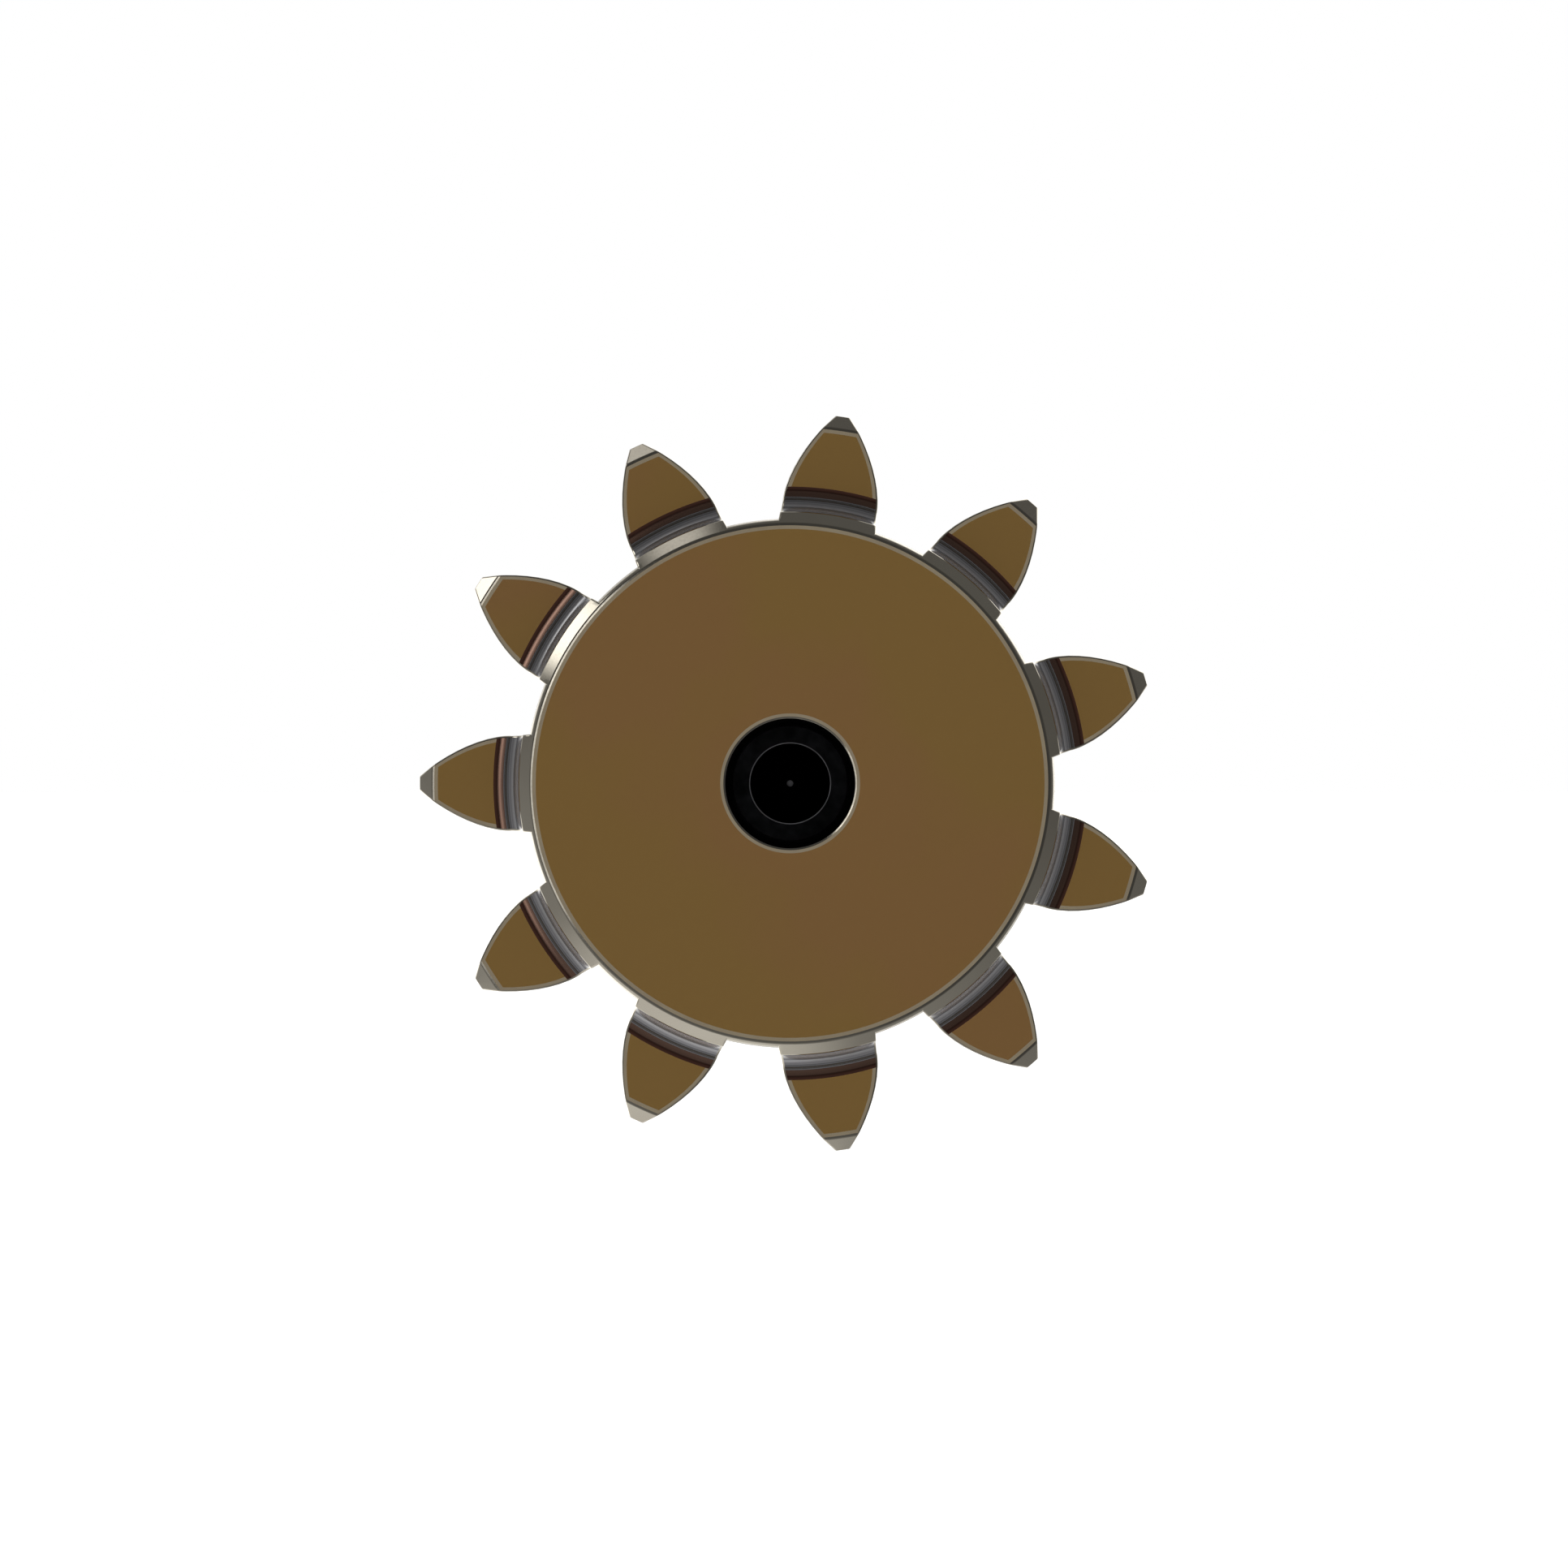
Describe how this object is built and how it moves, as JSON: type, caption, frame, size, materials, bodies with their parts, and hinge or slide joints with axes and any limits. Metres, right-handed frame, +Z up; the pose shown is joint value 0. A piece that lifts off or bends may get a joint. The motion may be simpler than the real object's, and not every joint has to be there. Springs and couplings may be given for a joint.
{
  "type": "planetary gear set",
  "caption": "Round planetary reduction gear unit with a flanged case and a coarse spur pinion on its output shaft.",
  "frame": {"origin": "centre of the rear mounting face, on the gear axis", "axes": "-Y along the gear axis towards the output pinion, +Z up, +X to the right seen from the pinion end"},
  "size_m": [0.066, 0.1175, 0.066],
  "materials": {
    "tempered_steel": "hardened steel with a brown temper film on its faces and bright ground chamfers and flanks",
    "ground_steel": "ground bright steel",
    "gear_steel": "cut and oiled gear steel",
    "ring_steel": "turned steel, oiled",
    "bearing_steel": "polished bearing steel",
    "spring_steel": "phosphated spring steel",
    "black_oxide": "black oxide on steel, lightly oiled",
    "cast_aluminium": "machined and bead blasted aluminium",
    "bronze": "sintered bearing bronze",
    "brass": "machined brass",
    "nitrile_rubber": "matt black nitrile rubber"
  },
  "bodies": {
    "housing": {"nose_housing": "cast_aluminium", "ring_gear": "ring_steel", "rear_flange": "cast_aluminium", "oil_seal": "nitrile_rubber", "outer_spacer": "ground_steel", "housing_circlip": "spring_steel", "front_bearing_outer": "bearing_steel", "rear_bearing_outer": "bearing_steel", "case_screw_1": "black_oxide", "case_screw_2": "black_oxide", "case_screw_3": "black_oxide", "case_screw_4": "black_oxide"},
    "output": {"output_shaft": "black_oxide", "output_pinion": "tempered_steel", "pinion_key": "ground_steel", "carrier_plate": "ground_steel", "sun_thrust_washer": "bronze", "inner_spacer": "ground_steel", "shaft_circlip": "spring_steel", "front_bearing_inner": "bearing_steel", "rear_bearing_inner": "bearing_steel", "planet_pin_1": "ground_steel", "planet_washer_front_1": "bronze", "planet_washer_rear_1": "bronze", "pin_clip_1": "spring_steel", "planet_pin_2": "ground_steel", "planet_washer_front_2": "bronze", "planet_washer_rear_2": "bronze", "pin_clip_2": "spring_steel", "planet_pin_3": "ground_steel", "planet_washer_front_3": "bronze", "planet_washer_rear_3": "bronze", "pin_clip_3": "spring_steel"},
    "planet_1": {"planet_gear_1": "gear_steel", "planet_bush_1": "bronze"},
    "planet_2": {"planet_gear_2": "gear_steel", "planet_bush_2": "bronze"},
    "planet_3": {"planet_gear_3": "gear_steel", "planet_bush_3": "bronze"},
    "sun": {"sun_gear": "gear_steel", "sun_grub_screw": "black_oxide"},
    "front_cage": {"front_bearing_cage": "brass", "front_bearing_ball_1": "bearing_steel", "front_bearing_ball_2": "bearing_steel", "front_bearing_ball_3": "bearing_steel", "front_bearing_ball_4": "bearing_steel", "front_bearing_ball_5": "bearing_steel", "front_bearing_ball_6": "bearing_steel", "front_bearing_ball_7": "bearing_steel", "front_bearing_ball_8": "bearing_steel"},
    "rear_cage": {"rear_bearing_cage": "brass", "rear_bearing_ball_1": "bearing_steel", "rear_bearing_ball_2": "bearing_steel", "rear_bearing_ball_3": "bearing_steel", "rear_bearing_ball_4": "bearing_steel", "rear_bearing_ball_5": "bearing_steel", "rear_bearing_ball_6": "bearing_steel", "rear_bearing_ball_7": "bearing_steel", "rear_bearing_ball_8": "bearing_steel"}
  },
  "joints": [
    {"name": "output_spin", "type": "hinge", "parent": "housing", "child": "output", "pos_m": [0, 0, 0], "axis": [0, -1, 0], "continuous": true},
    {"name": "planet_1_spin", "type": "hinge", "parent": "output", "child": "planet_1", "pos_m": [0, 0, 0.015], "axis": [0, -1, 0], "continuous": true},
    {"name": "planet_2_spin", "type": "hinge", "parent": "output", "child": "planet_2", "pos_m": [-0.01299, 0, -0.0075], "axis": [0, -1, 0], "continuous": true},
    {"name": "planet_3_spin", "type": "hinge", "parent": "output", "child": "planet_3", "pos_m": [0.01299, 0, -0.0075], "axis": [0, -1, 0], "continuous": true},
    {"name": "sun_spin", "type": "hinge", "parent": "housing", "child": "sun", "pos_m": [0, 0, 0], "axis": [0, -1, 0], "continuous": true},
    {"name": "front_cage_spin", "type": "hinge", "parent": "housing", "child": "front_cage", "pos_m": [0, 0, 0], "axis": [0, -1, 0], "continuous": true},
    {"name": "rear_cage_spin", "type": "hinge", "parent": "housing", "child": "rear_cage", "pos_m": [0, 0, 0], "axis": [0, -1, 0], "continuous": true}
  ],
  "couplings": [
    {"joint": "planet_1_spin", "follows": "output_spin", "ratio": -3},
    {"joint": "planet_2_spin", "follows": "output_spin", "ratio": -3},
    {"joint": "planet_3_spin", "follows": "output_spin", "ratio": -3},
    {"joint": "sun_spin", "follows": "output_spin", "ratio": 4},
    {"joint": "front_cage_spin", "follows": "output_spin", "ratio": 0.4035},
    {"joint": "rear_cage_spin", "follows": "output_spin", "ratio": 0.4035}
  ]
}
